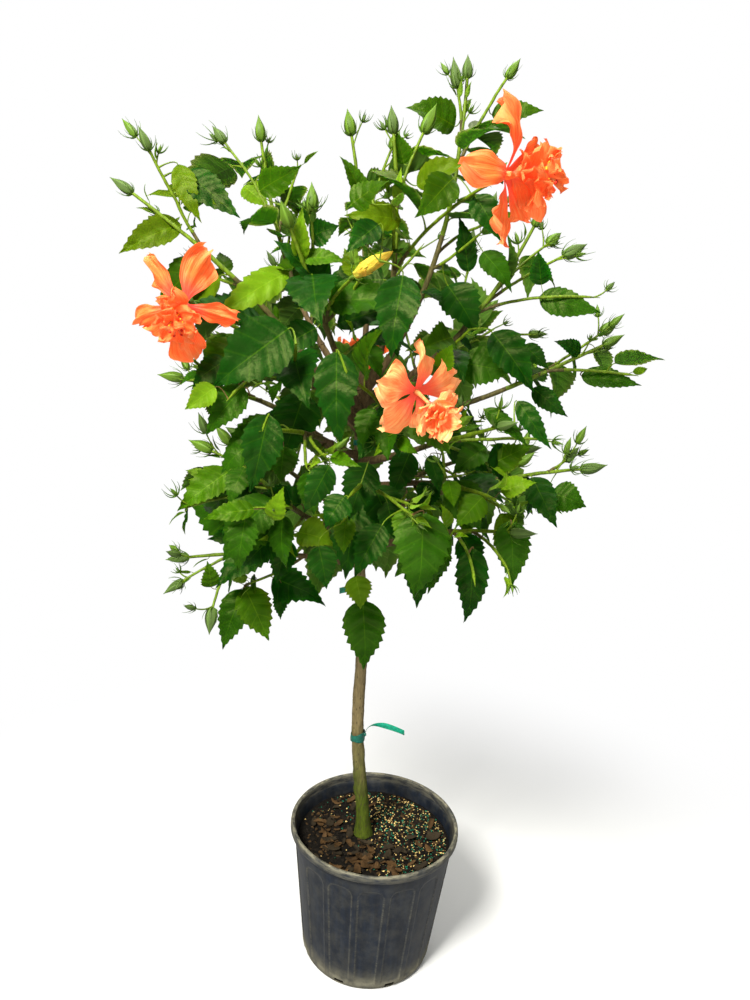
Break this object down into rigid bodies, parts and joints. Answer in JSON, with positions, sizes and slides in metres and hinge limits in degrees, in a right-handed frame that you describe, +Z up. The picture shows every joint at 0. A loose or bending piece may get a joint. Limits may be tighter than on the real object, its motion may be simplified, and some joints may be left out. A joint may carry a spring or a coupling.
{
  "type": "potted hibiscus standard",
  "caption": "Flowering hibiscus trained to one bare stem with an open leafy crown of buds and large double blooms, rooted in soil in a round ribbed nursery pot.",
  "frame": {"origin": "centre of the pot's flat underside", "axes": "+Z up along the pot's axis, +X to the right as the plant is seen from the front, -Y towards the front where the lower blooms face"},
  "size_m": [0.7482, 0.7057, 1.4144],
  "materials": {
    "pot": "weathered, dusty near the rim and foot",
    "soil": "damp potting mix with pale grains and dry leaf litter",
    "bark": "matt, olive green low down",
    "bough": "matt",
    "tie": "stretchy ribbon",
    "foliage": "glossy leaves"
  },
  "bodies": {
    "root": {"pot": "pot", "soil": "soil", "trunk": "bark", "tie_low": "tie", "tie_middle": "tie", "tie_high": "tie", "bough_top_right": "bough", "bough_top_centre": "bough", "bough_top_left": "bough", "bough_high_left": "bough", "bough_front_left": "bough", "bough_front_top": "bough", "bough_front_middle": "bough", "bough_front_inner": "bough", "bough_middle_left": "bough", "bough_low_left": "bough", "bough_lowest_left": "bough", "bough_low_front": "bough", "bough_lowest_front": "bough", "bough_lowest_right": "bough", "bough_inner_right": "bough", "bough_low_right": "bough", "bough_middle_right": "bough", "bough_high_right": "bough", "bough_front_right": "bough", "bough_top_back": "bough", "bough_back_left": "bough", "bough_back_right": "bough", "bough_back_middle": "bough", "bough_low_back_left": "bough", "bough_low_back_right": "bough", "bough_lowest_back": "bough", "foliage_top_right": "foliage", "foliage_top_centre": "foliage", "foliage_top_left": "foliage", "foliage_high_left": "foliage", "foliage_front_left": "foliage", "foliage_front_top": "foliage", "foliage_front_middle": "foliage", "foliage_front_inner": "foliage", "foliage_middle_left": "foliage", "foliage_low_left": "foliage", "foliage_lowest_left": "foliage", "foliage_low_front": "foliage", "foliage_lowest_front": "foliage", "foliage_lowest_right": "foliage", "foliage_inner_right": "foliage", "foliage_low_right": "foliage", "foliage_middle_right": "foliage", "foliage_high_right": "foliage", "foliage_front_right": "foliage", "foliage_top_back": "foliage", "foliage_back_left": "foliage", "foliage_back_right": "foliage", "foliage_back_middle": "foliage", "foliage_low_back_left": "foliage", "foliage_low_back_right": "foliage", "foliage_lowest_back": "foliage"}
  },
  "joints": []
}
